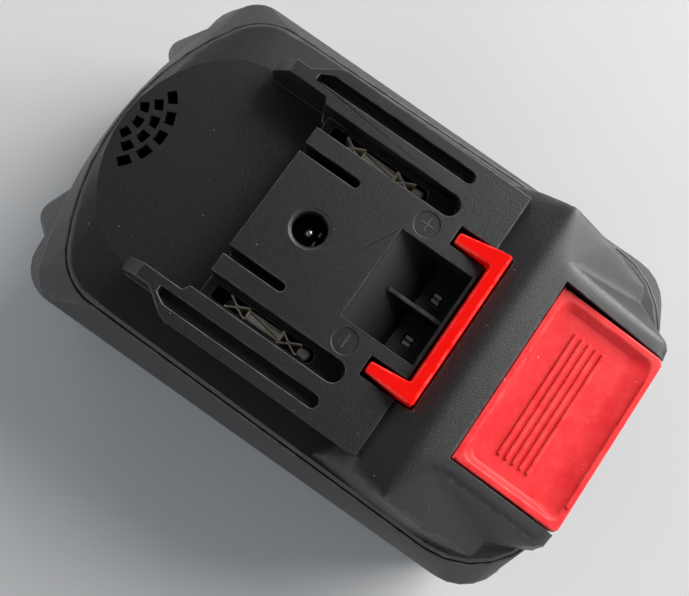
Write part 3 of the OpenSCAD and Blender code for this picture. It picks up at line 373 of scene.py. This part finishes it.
def moulded_plastic(name, dark, light, rough, cells, depth, dusty, worn, zones=None):
    """Grained moulded plastic: tone and sheen vary with the grain, rare grain cells get a painted glint
    highlight, edges are worn, dust lies on top.
    """
    made, tree, shader, place = material(name, rough, specular=0.6)
    grain = use(tree, GRAIN, Vector=place, Cells_per_metre=cells)
    wear = use(tree, WEAR, Vector=place, Amount=worn)
    dust = use(tree, DUST, Vector=place, Film=dusty)
    fleck, glint = grain.outputs["Fleck"], grain.outputs["Glint"]
    colour = mix_colour(tree, ramp(tree, fleck, 0.35, 0.7), dark, light)
    if zones:
        colour = zones(tree, place, colour)
    # Rare grain cells are lightened first: a painted glint highlight. Worn edges, dust film and dust
    # specks follow.
    for share, over in ((math_node(tree, "MULTIPLY", glint, 0.3), PAINTED_GLINT_COLOUR),
                        (wear.outputs["Mask"], WORN_COLOUR), (dust.outputs["Film"], FILM_COLOUR),
                        (dust.outputs["Mask"], SPECK_COLOUR)):
        colour = mix_colour(tree, share, colour, over)
    sheen = ramp(tree, fleck, 0.3, 0.7, rough + 0.1, rough - 0.08)
    roughness = math_node(tree, "SUBTRACT", sheen, math_node(tree, "MULTIPLY", glint, 0.28))
    join_surface(tree, shader, colour, roughness, grain.outputs["Height"], depth)
    return made


DARK_ZONE_FRONT, DARK_ZONE_REAR, DARK_SHARE = -16.0, -20.0, 0.75
DARK_ZONE_COLOUR = (0.003, 0.0035, 0.003, 1)


def housing_zones(tree, place, colour):
    """The plateau and skirt are darker behind the plate than in front."""
    at = node(tree, "ShaderNodeSeparateXYZ", {0: place})
    low = ramp(tree, at.outputs["Z"], (PLATEAU_TOP + 0.3) * MM, (PLATEAU_TOP + 1.2) * MM,
               DARK_SHARE, 0.0)
    rear = ramp(tree, at.outputs["X"], DARK_ZONE_FRONT * MM, DARK_ZONE_REAR * MM)
    return mix_colour(tree, math_node(tree, "MULTIPLY", low, rear), colour, DARK_ZONE_COLOUR)


def latch_material():
    """Red plastic, glossy on the hook and duller, paler and rubbed on the button."""
    made, tree, shader, place = material("latch_plastic", 0.35, specular=0.2)
    at = node(tree, "ShaderNodeSeparateXYZ", {0: place})
    button = ramp(tree, at.outputs["X"], (BUTTON_REAR - 3) * MM, (BUTTON_REAR - 1) * MM)
    mottle = noise_value(tree, place, 260.0, Detail=6.0, Roughness=0.7)
    fine = noise_value(tree, place, 2600.0, Detail=2.0)
    hook_red = mix_colour(tree, ramp(tree, mottle, 0.3, 0.7), (0.95, 0.003, 0.001, 1),
                          (1.0, 0.005, 0.002, 1))
    button_red = mix_colour(tree, ramp(tree, mottle, 0.35, 0.7), (0.74, 0.026, 0.032, 1),
                            (0.84, 0.044, 0.046, 1))
    colour = mix_colour(tree, button, hook_red, button_red)
    dust = use(tree, DUST, Vector=place, Film=0.05)
    wear = use(tree, WEAR, Vector=place, Amount=0.35)
    colour = mix_colour(tree, wear.outputs["Mask"], colour, (0.86, 0.16, 0.13, 1))
    colour = mix_colour(tree, dust.outputs["Mask"], colour, (0.75, 0.45, 0.40, 1))
    roughness = math_node(tree, "ADD", ramp(tree, mottle, 0.3, 0.7, 0.18, 0.27),
                          math_node(tree, "MULTIPLY", button, 0.2))
    join_surface(tree, shader, colour, roughness, fine, 0.008)
    return made


def metal(name, dark, light, rough, metallic=1.0):
    """Rolled or drawn metal: stained in patches, with fine lines along X."""
    made, tree, shader, place = material(name, rough, metallic=metallic)
    stretched = node(tree, "ShaderNodeMapping", {0: place, "Scale": (0.15, 1.0, 1.0)})
    lines = noise_value(tree, stretched.outputs[0], 2700.0, Detail=4.0)
    stain = noise_value(tree, place, 350.0, Detail=3.0)
    colour = mix_colour(tree, ramp(tree, stain, 0.35, 0.65), dark, light)
    roughness = ramp(tree, lines, 0.3, 0.7, rough - 0.08, rough + 0.12)
    join_surface(tree, shader, colour, roughness, lines, 0.006, 0.6)
    return made


def plain(name, dark, light, rough, scale=500.0, depth=0.01):
    """A simple mottled finish for the pieces inside the case."""
    made, tree, shader, place = material(name, rough)
    mottle = noise_value(tree, place, scale, Detail=5.0)
    colour = mix_colour(tree, ramp(tree, mottle, 0.3, 0.7), dark, light)
    roughness = ramp(tree, mottle, 0.3, 0.7, rough - 0.07, rough + 0.07)
    join_surface(tree, shader, colour, roughness, mottle, depth, 0.5)
    return made


# Finishes: dark and light tone, roughness, and then what their own functions name
housing_plastic = moulded_plastic("housing_plastic", (0.0022, 0.0025, 0.0027, 1),
                                  (0.0055, 0.0060, 0.0065, 1), 0.39, 6000.0, 0.05, 0.007, 0.8,
                                  housing_zones)
case_plastic = moulded_plastic("case_plastic", (0.0016, 0.0020, 0.0025, 1),
                               (0.0035, 0.0042, 0.0052, 1), 0.48, 4500.0, 0.03, 0.005, 0.4)
sign_plastic = moulded_plastic("sign_plastic", (0.03, 0.032, 0.034, 1), (0.05, 0.052, 0.055, 1),
                               0.45, 3300.0, 0.02, 0.2, 0.9)
latch_plastic = latch_material()
contact_nickel = metal("contact_nickel", (0.82, 0.68, 0.50, 1), (1.0, 0.91, 0.74, 1), 0.42,
                       metallic=0.25)
bright_steel = metal("bright_steel", (0.62, 0.62, 0.62, 1), (0.85, 0.85, 0.84, 1), 0.25)
strip_nickel = metal("strip_nickel", (0.60, 0.60, 0.58, 1), (0.75, 0.75, 0.73, 1), 0.35)
cell_sleeve = plain("cell_sleeve", (0.006, 0.022, 0.055, 1), (0.010, 0.035, 0.080, 1), 0.4, 300.0)
holder_plastic = plain("holder_plastic", (0.55, 0.55, 0.50, 1), (0.65, 0.65, 0.60, 1), 0.5)
paper = plain("insulating_paper", (0.42, 0.36, 0.24, 1), (0.55, 0.50, 0.36, 1), 0.8, 1500.0, 0.03)
board_green = plain("board_green", (0.004, 0.032, 0.014, 1), (0.008, 0.055, 0.025, 1), 0.35)
black_part = plain("black_part", (0.010, 0.010, 0.011, 1), (0.022, 0.022, 0.023, 1), 0.45)
tray_plastic = plain("tray_plastic", (0.02, 0.02, 0.022, 1), (0.035, 0.035, 0.038, 1), 0.5)
can_blue = plain("can_blue", (0.02, 0.04, 0.12, 1), (0.03, 0.06, 0.18, 1), 0.3)


def dress(obj, finish):
    obj.data.materials.clear()
    obj.data.materials.append(finish)


# CAD nodes that keep their shape, by the start of their name; the first that fits counts
FINISHES = {
    "cell_holder": holder_plastic, "cell_": cell_sleeve, "nickel_strip": strip_nickel,
    "end_paper": paper, "insulating_sheet": paper, "board_tray": tray_plastic,
    "circuit_board": board_green, "signal_contact": contact_nickel, "jack_body": black_part,
    "jack_pin": bright_steel, "jack_springs": bright_steel, "power_switches": black_part,
    "capacitor": can_blue, "control_chip": black_part, "fuse": holder_plastic,
    "positive_lead": strip_nickel, "negative_lead": strip_nickel,
    "temperature_sensor": black_part, "case_screws": bright_steel}
for name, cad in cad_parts.items():
    for start, finish in FINISHES.items():
        if name.startswith(start):
            dress(cad, finish)
            break


# Top housing: the hood's skin is softened first, and then all edges are rounded
HOOD_CELL, HOOD_ROUNDS, HOOD_PULL = 0.7, 20, 0.5
CUT_GAP, LYING_FLAT = 0.01, 0.75
UPRIGHT, FACING_FRONT, LEVEL = 0.04, 0.5, 0.9995
SLOT_END, SLOT_SIDE = 25.4, 27.5
SLOT_RAMP, START_GAP, START_RAMP, BAY_RAMP, BEAD_RAMP = 2.0, 0.3, 1.2, 1.0, 0.6
BAY_NEAR, WING_SIDE = 0.4, 17.5
BEAD_X, BEAD_Y = 35.0, 25.0
HOOD_EDGE, SKIRT_EDGE, BAY_EDGE, PLATE_EDGE, SEAM_EDGE = 0.5, 0.4, 0.25, 0.2, 0.12


def on_hood(centre, normal):
    """Whether a face belongs to the outer skin of the hood, outside the button's bay."""
    in_bay = centre.x > BAY_REAR and abs(centre.y) < BAY_HALF_WIDTH
    if in_bay or centre.x < HOOD_START or centre.z < BEAD_TOP - 0.1:
        return False
    at_front = normal.x > FACING_FRONT and centre.x > PACK_FRONT - 1.0
    return normal.z > UPRIGHT or at_front


def hood_give(place):
    """How far a point of the hood's skin may give way: not at the bay, the hook's slot or the bead."""
    x, y, z = place.x, abs(place.y), place.z
    from_slot = clamp((x - SLOT_END) / SLOT_RAMP)
    from_start = clamp((x - HOOD_START - START_GAP) / START_RAMP)
    behind = from_slot if y < SLOT_SIDE else from_start
    to_bay = math.hypot(max(0.0, y - BAY_HALF_WIDTH), max(0.0, BAY_REAR - x))
    return behind * clamp(to_bay / BAY_RAMP) * clamp((z - BEAD_TOP) / BEAD_RAMP)


def hood_skin(mesh):
    return [face for face in mesh.faces if on_hood(face.calc_center_median() / MM, face.normal)]


def slice_at(mesh, faces, place, normal):
    """Cuts the faces, and nothing else, where the plane through place crosses them."""
    around = set(faces)
    for face in faces:
        around.update(face.edges)
        around.update(face.verts)
    bmesh.ops.bisect_plane(mesh, geom=list(around), plane_co=place, plane_no=normal, dist=1e-7)


def soften_hood(obj):
    """Cuts the hood's skin into small cells and evens them out, each point as far as hood_give
    lets it, so that the edges between its facets turn into broad soft bands."""
    mesh = bmesh.new()
    mesh.from_mesh(obj.data)
    cornered = [face for face in mesh.faces
                if len(face.verts) > 4 and max(v.co.z for v in face.verts) > BEAD_TOP * MM
                and min(v.co.x for v in face.verts) > (PLATE_FRONT - 0.5) * MM]
    bmesh.ops.triangulate(mesh, faces=cornered)
    slice_at(mesh, hood_skin(mesh), (HOOD_START * MM, 0, 0), (1, 0, 0))
    for axis in range(3):
        normal = [int(axis == k) for k in range(3)]
        places = [vertex.co[axis] / MM for face in hood_skin(mesh) for vertex in face.verts]
        low, high = min(places), max(places)
        for k in range(1, int((high - low) / HOOD_CELL) + 1):
            level = low + k * HOOD_CELL
            crossed = []
            for face in hood_skin(mesh):
                along = [vertex.co[axis] for vertex in face.verts]
                if min(along) < level * MM < max(along):
                    if axis < 2 or abs(face.normal.z) < LYING_FLAT:
                        crossed.append(face)
            if crossed:
                slice_at(mesh, crossed, [n * level * MM for n in normal], normal)
    bmesh.ops.remove_doubles(mesh, verts=mesh.verts, dist=CUT_GAP * MM)
    inside = {vertex for face in hood_skin(mesh) for vertex in face.verts}
    free = []
    for vertex in inside:
        share = hood_give(vertex.co / MM)
        others = [edge.other_vert(vertex) for edge in vertex.link_edges]
        others = [other for other in others if other in inside]
        if share > 0.0 and others:
            free.append((vertex, HOOD_PULL * share, others))
    for _ in range(HOOD_ROUNDS):
        moved = []
        for vertex, pull, others in free:
            middle = sum((other.co for other in others), Vector()) / len(others)
            moved.append((vertex, vertex.co.lerp(middle, pull)))
        for vertex, place in moved:
            vertex.co = place
    mesh.to_mesh(obj.data)
    mesh.free()


def housing_radius(middle):
    """Edge radius in mm: soft on the hood and skirt, crisp on the plate and in its openings."""
    x, y, z = middle.x, abs(middle.y), middle.z
    beside_bay = abs(y - BAY_HALF_WIDTH) < BAY_NEAR or abs(x - BAY_REAR) < BAY_NEAR
    if x > PLATE_FRONT + 0.4 and y > WING_SIDE and z > PLATEAU_TOP - 2:
        return BAY_EDGE if beside_bay else HOOD_EDGE
    if z > PLATEAU_TOP + 0.2:
        return BAY_EDGE if beside_bay else PLATE_EDGE
    if math.hypot(x - VENT_X, y) < VENT_REACH:
        return 0.0
    if z < SEAM_TOP:
        return SEAM_EDGE
    if z > PLATEAU_TOP - 0.1:
        return HOOD_EDGE
    if x > BEAD_X and y > BEAD_Y:
        return 0.0
    return BAY_EDGE if x > HOOD_START else SKIRT_EDGE


def at_plateau_edge(one, other):
    """Whether two faces meet at the plateau's outline, a shallow but clear step."""
    top = max(vertex.co.z for face in (one, other) for vertex in face.verts)
    return top < (PLATEAU_TOP + 0.05) * MM and (one.normal.z > LEVEL) != (other.normal.z > LEVEL)


housing = merged_copy("top_cover", "housing")
soften_hood(housing)
round_edges(housing, housing_radius)
smooth(housing, at_plateau_edge)
dress(housing, housing_plastic)
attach(housing, "pack")
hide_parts("top_cover")

# Bottom case
LUMPS_FRONT, LUMPS_SIDE, TUB_RIM = -50.0, 34.0, 37.0
TUB_EDGE, RIM_EDGE = 0.5, 0.1


def tub_radius(middle):
    """Edge radius in mm: none where the rear lumps flow into the wall, which shading alone softens."""
    if middle.x < LUMPS_FRONT and abs(middle.y) < LUMPS_SIDE:
        return 0.0
    return TUB_EDGE if middle.z < TUB_RIM else RIM_EDGE


tub = merged_copy("bottom_case", "case_tub")
round_edges(tub, tub_radius)
smooth(tub)
dress(tub, case_plastic)
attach(tub, "pack")
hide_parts("bottom_case")

# Release latch: hook and bridge from the CAD, cut off where the modelled button begins
LATCH_RADIUS, LATCH_CUT = 0.45, BUTTON_REAR + 0.4
latch = merged_copy("release_latch", "latch_moulding")
only(latch)
bpy.ops.object.mode_set(mode="EDIT")
bpy.ops.mesh.select_all(action="SELECT")
bpy.ops.mesh.bisect(plane_co=(LATCH_CUT * MM, 0, 0), plane_no=(1, 0, 0), use_fill=True,
                    clear_outer=True)
bpy.ops.mesh.select_all(action="DESELECT")
bpy.ops.object.mode_set(mode="OBJECT")
round_edges(latch, lambda middle: LATCH_RADIUS)
smooth(latch)
dress(latch, latch_plastic)
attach(latch, "latch")
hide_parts("release_latch")

# Latch springs
for side in ("left", "right"):
    coil = merged_copy("latch_spring_" + side, "spring_coil_" + side)
    smooth(coil)
    dress(coil, bright_steel)
    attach(coil, "pack")
    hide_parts("latch_spring_" + side)
    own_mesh(coil)

# Thumb button: the cap, with five ribs in its dish, a lip along the front edge and an apron below
CAP_REAR, CAP_FRONT = BUTTON_REAR - 0.15, PACK_FRONT - 0.02
CAP_HALF_WIDTH, CAP_DEPTH, CAP_CORNER = 18.9, 4.2, 1.2
DISH_DEPTH, DISH_REAR, DISH_SIDE, DISH_FRONT, DISH_CORNER = 1.5, 0.9, 1.3, 4.4, 2.0
CORNER_STEPS, DISH_STEPS = 6, 7
RIM = ((0.0, CAP_DEPTH), (0.0, 0.45), (0.06, 0.24), (0.18, 0.09), (0.4, 0.0), (1.15, 0.0),
       (1.4, 0.08), (1.55, 0.24))
RIB_COUNT, RIB_PITCH, RIB_START, RIB_LIFT = 5, 1.6, 41.9, 0.1
RIB_WIDTH, RIB_LENGTH, RIB_HEIGHT = 0.8, 26.6, 0.7
LIP_X, LIP_LIFT, LIP_SIZE = CAP_FRONT - 0.85, 0.05, (1.1, 28.2, 0.6)
APRON_BOTTOM, APRON_BELOW_RIM, APRON_DEPTH, APRON_CORNER = 43.2, 1.0, 2.2, 0.3


def button_level(x):
    """Height in mm of the button's rim at x: it slopes down to the front."""
    return BUTTON_TOP - BUTTON_FALL * (x - BUTTON_REAR) / (PACK_FRONT - BUTTON_REAR)


def sloping_ring(mesh, x0, x1, half_width, radius, drop):
    """A ring of points round a rounded rectangle, drop mm under the button's sloping rim."""
    front, rear, side = x1 - radius, x0 + radius, half_width - radius
    ring = []
    for cx, cy, start in ((front, side, 0), (rear, side, 90), (rear, -side, 180), (front, -side, 270)):
        for step in range(CORNER_STEPS + 1):
            angle = math.radians(start + 90 * step / CORNER_STEPS)
            x, y = cx + radius * math.cos(angle), cy + radius * math.sin(angle)
            ring.append(mesh.verts.new(Vector((x, y, button_level(x) - drop)) * MM))
    return ring


def button_cap():
    """A sloping block with round corners, a rolled rim and a filleted dish."""
    mesh = bmesh.new()
    rings = [sloping_ring(mesh, CAP_REAR + inset, CAP_FRONT - inset, CAP_HALF_WIDTH - inset,
                          CAP_CORNER + 0.5 * inset, drop) for inset, drop in RIM]
    inset, lip = RIM[-1]
    for step in range(1, DISH_STEPS + 1):
        share = step / DISH_STEPS
        fall = math.sin(math.radians(90 * share))
        rings.append(sloping_ring(
            mesh, BUTTON_REAR + inset + DISH_REAR * share, CAP_FRONT - inset - DISH_FRONT * share,
            CAP_HALF_WIDTH - inset - DISH_SIDE * share, DISH_CORNER,
            lip + (DISH_DEPTH - lip) * fall))
    for ring, after in zip(rings, rings[1:]):
        for k in range(len(ring)):
            following = (k + 1) % len(ring)
            mesh.faces.new((ring[k], ring[following], after[following], after[k]))
    mesh.faces.new(rings[0][::-1])
    mesh.faces.new(rings[-1])
    bmesh.ops.recalc_face_normals(mesh, faces=mesh.faces)
    cap = new_piece("button_cap", mesh)
    smooth(cap)
    return cap


tilt = math.atan2(BUTTON_FALL, PACK_FRONT - BUTTON_REAR)
button_pieces = [button_cap()]
for i in range(RIB_COUNT):
    x = RIB_START + i * RIB_PITCH + RIB_WIDTH / 2
    button_pieces.append(rounded_bar(
        "button_rib_%d" % (i + 1), (x, 0, button_level(x) - DISH_DEPTH + RIB_LIFT),
        (RIB_WIDTH, RIB_LENGTH, RIB_HEIGHT), tilt))
button_pieces.append(rounded_bar("button_lip", (LIP_X, 0, button_level(LIP_X) + LIP_LIFT),
                                 LIP_SIZE, tilt))
apron_top = button_level(PACK_FRONT) - APRON_BELOW_RIM
button_pieces.append(rounded_bar(
    "button_apron", (CAP_FRONT - APRON_DEPTH / 2, 0, (APRON_BOTTOM + apron_top) / 2),
    (APRON_DEPTH, 2 * CAP_HALF_WIDTH, apron_top - APRON_BOTTOM), corner=APRON_CORNER))
for piece in button_pieces:
    dress(piece, latch_plastic)
    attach(piece, "latch")

# Polarity signs: low raised strokes with soft edges, moulded on the floors of two round recesses
STROKE_WIDTH, STROKE_HEIGHT, STROKE_LIFT, STROKE_EDGE = 0.32, 0.2, 0.02, 0.1
MINUS_LENGTH, PLUS_LENGTH = 2.8, 2.6
for name, y, size in (("minus_sign", -DISC_Y, (STROKE_WIDTH, MINUS_LENGTH, STROKE_HEIGHT)),
                      ("plus_sign_across", DISC_Y, (STROKE_WIDTH, PLUS_LENGTH, STROKE_HEIGHT)),
                      ("plus_sign_along", DISC_Y, (PLUS_LENGTH, STROKE_WIDTH, STROKE_HEIGHT))):
    stroke = block(name, size, (DISC_X, y, PLATE_TOP - DISC_SINK + STROKE_LIFT))
    bevel = stroke.modifiers.new("round", "BEVEL")
    bevel.width = STROKE_EDGE * MM
    bevel.segments = 3
    apply_modifiers(stroke)
    smooth(stroke)
    dress(stroke, sign_plastic)
    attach(stroke, "pack")

# Power contacts: a folded base with a middle bar and a tab, and two pinched pairs of leaves on it
CONTACT_Y, CONTACT_TOP, BOARD_TOP = 18.5, 50.8, 43.7
CONTACT_REAR, CONTACT_FRONT = -14.3, 4.6
LEAF_STARTS, LEAF_LENGTH = (-13.5, -2.1), 4.4
LEAF_SHEET, LEAF_EDGE, LEAF_TURN = 0.3, 0.06, 50.0
LEAF_PATH = ((0.0, 1.15), (0.1, 1.05), (0.38, 0.3), (0.48, 0.17), (0.58, 0.3), (0.88, 1.0), (1.0, 1.05))
UNDER_REAR_LEAF, UNDER_FRONT_LEAF = 0.3, 0.6
BAR_WIDTH, BAR_DROP, TAB_DROP = 2.2, 0.3, 1.0
BASE_WIDTH, BASE_HEIGHT = 2.3, 0.5
BAR_CORNER, TAB_CORNER = 0.2, 0.3


def leaf(name, x, y, side):
    """One springy leaf: an upright strip of sheet that bends in to the pinch and out again."""
    mesh = bmesh.new()
    lower = [mesh.verts.new(Vector((x + share * LEAF_LENGTH, y + side * out, BOARD_TOP)) * MM)
             for share, out in LEAF_PATH]
    upper = [mesh.verts.new(vertex.co + Vector((0, 0, CONTACT_TOP - BOARD_TOP)) * MM)
             for vertex in lower]
    for k in range(len(lower) - 1):
        mesh.faces.new((lower[k], lower[k + 1], upper[k + 1], upper[k]))
    strip = new_piece(name, mesh)
    sheet = strip.modifiers.new("sheet", "SOLIDIFY")
    sheet.thickness = LEAF_SHEET * MM
    sheet.offset = 0.0
    edge = strip.modifiers.new("edge", "BEVEL")
    edge.width = LEAF_EDGE * MM
    edge.segments = 2
    edge.limit_method = "ANGLE"
    edge.angle_limit = math.radians(LEAF_TURN)
    apply_modifiers(strip)
    smooth(strip)
    return strip


for side, cad_name in ((1, "positive_contact"), (-1, "negative_contact")):
    y, z = side * CONTACT_Y, (BOARD_TOP + CONTACT_TOP) / 2
    height = CONTACT_TOP - BOARD_TOP
    bar_rear, tab_rear = (start + LEAF_LENGTH - UNDER_REAR_LEAF for start in LEAF_STARTS)
    bar_front = LEAF_STARTS[1] + UNDER_FRONT_LEAF
    bar = rounded_bar(cad_name + "_bar", ((bar_rear + bar_front) / 2, y, z - BAR_DROP / 2),
                      (bar_front - bar_rear, BAR_WIDTH, height - BAR_DROP), corner=BAR_CORNER)
    tab = rounded_bar(cad_name + "_tab", ((tab_rear + CONTACT_FRONT) / 2, y, z - TAB_DROP / 2),
                      (CONTACT_FRONT - tab_rear, BAR_WIDTH, height - TAB_DROP), corner=TAB_CORNER)
    base = rounded_bar(
        cad_name + "_base", ((CONTACT_REAR + CONTACT_FRONT) / 2, y, BOARD_TOP + BASE_HEIGHT / 2),
        (CONTACT_FRONT - CONTACT_REAR, BASE_WIDTH, BASE_HEIGHT), corner=TAB_CORNER)
    leaves = [leaf("%s_leaf_%d" % (cad_name, 2 * i + j + 1), LEAF_STARTS[i], y, (-1, 1)[j])
              for i in range(2) for j in range(2)]
    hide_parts(cad_name)
    for piece in [bar, tab, base] + leaves:
        dress(piece, contact_nickel)
        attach(piece, "pack")

# Floor, light and camera, in metres, watts and radians, and the camera's place in millimetres
FLOOR_SIDE = 12.0
WINDOW_PLACE, WINDOW_TARGET = (0.72, 1.26, 0.80), (0, 0, 0.04)
WINDOW_SIZE, WINDOW_WATTS, WINDOW_COLOUR = 1.7, 56.0, (1.0, 0.985, 0.955)
SKY_LOW, SKY_HIGH = (1.24, 1.28, 1.32, 1), (0.035, 0.046, 0.060, 1)
VIEW_AZIMUTH, VIEW_ELEVATION, VIEW_ROLL = -1.383, 1.392, 0.427
VIEW_PLACE = (9.6, -37.8, 230.7)
FOCAL_PIXELS, IMAGE_WIDTH, SENSOR_WIDTH = 1000.0, 689.0, 36.0


def floor_piece():
    bpy.ops.object.select_all(action="DESELECT")
    bpy.ops.mesh.primitive_plane_add(size=FLOOR_SIDE, location=(0, 0, 0))
    ground = bpy.context.object
    ground.name = "floor"
    made, tree, shader, place = material("pale_floor", 0.7)
    mottle = noise_value(tree, place, 9.0, Detail=3.0)
    colour = mix_colour(tree, ramp(tree, mottle, 0.3, 0.7), (0.57, 0.573, 0.58, 1),
                        (0.60, 0.604, 0.61, 1))
    tree.links.new(colour, shader.inputs["Base Color"])
    dress(ground, made)


def window_light():
    """One large soft light to the side of the pack."""
    light = bpy.data.lights.new("window", "AREA")
    light.shape = "DISK"
    light.size = WINDOW_SIZE
    light.energy = WINDOW_WATTS
    light.color = WINDOW_COLOUR
    window = bpy.data.objects.new("window", light)
    bpy.context.scene.collection.objects.link(window)
    window.location = WINDOW_PLACE
    way = Vector(WINDOW_TARGET) - Vector(WINDOW_PLACE)
    window.rotation_euler = way.to_track_quat("-Z", "Y").to_euler()


def studio_sky():
    """Soft light from all round, bright near the horizon and dark overhead."""
    world = bpy.data.worlds.new("studio")
    world.use_nodes = True
    sky = world.node_tree
    direction = node(sky, "ShaderNodeSeparateXYZ",
                     {0: node(sky, "ShaderNodeTexCoord").outputs["Generated"]})
    shade = mix_colour(sky, ramp(sky, direction.outputs["Z"], 0.15, 0.93), SKY_LOW, SKY_HIGH)
    sky.links.new(shade, sky.nodes["Background"].inputs["Color"])
    bpy.context.scene.world = world


def camera():
    """The photograph's view: focal length and place from a fit of the pack's own edges."""
    back = Vector((math.cos(VIEW_ELEVATION) * math.cos(VIEW_AZIMUTH),
                   math.cos(VIEW_ELEVATION) * math.sin(VIEW_AZIMUTH), math.sin(VIEW_ELEVATION)))
    right = Vector((0, 0, 1)).cross(back).normalized()
    up = back.cross(right)
    c, s = math.cos(VIEW_ROLL), math.sin(VIEW_ROLL)
    turn = Matrix((c * right + s * up, -s * right + c * up, back)).transposed().to_4x4()
    lens = bpy.data.cameras.new("camera")
    lens.sensor_width = SENSOR_WIDTH
    lens.lens = FOCAL_PIXELS / IMAGE_WIDTH * SENSOR_WIDTH
    lens.clip_start, lens.clip_end = 0.01, 20
    eye = bpy.data.objects.new("camera", lens)
    bpy.context.scene.collection.objects.link(eye)
    eye.matrix_world = Matrix.Translation(Vector(VIEW_PLACE) * MM) @ turn
    bpy.context.scene.camera = eye


floor_piece()
window_light()
studio_sky()
bpy.context.scene.view_settings.view_transform = "Standard"
camera()
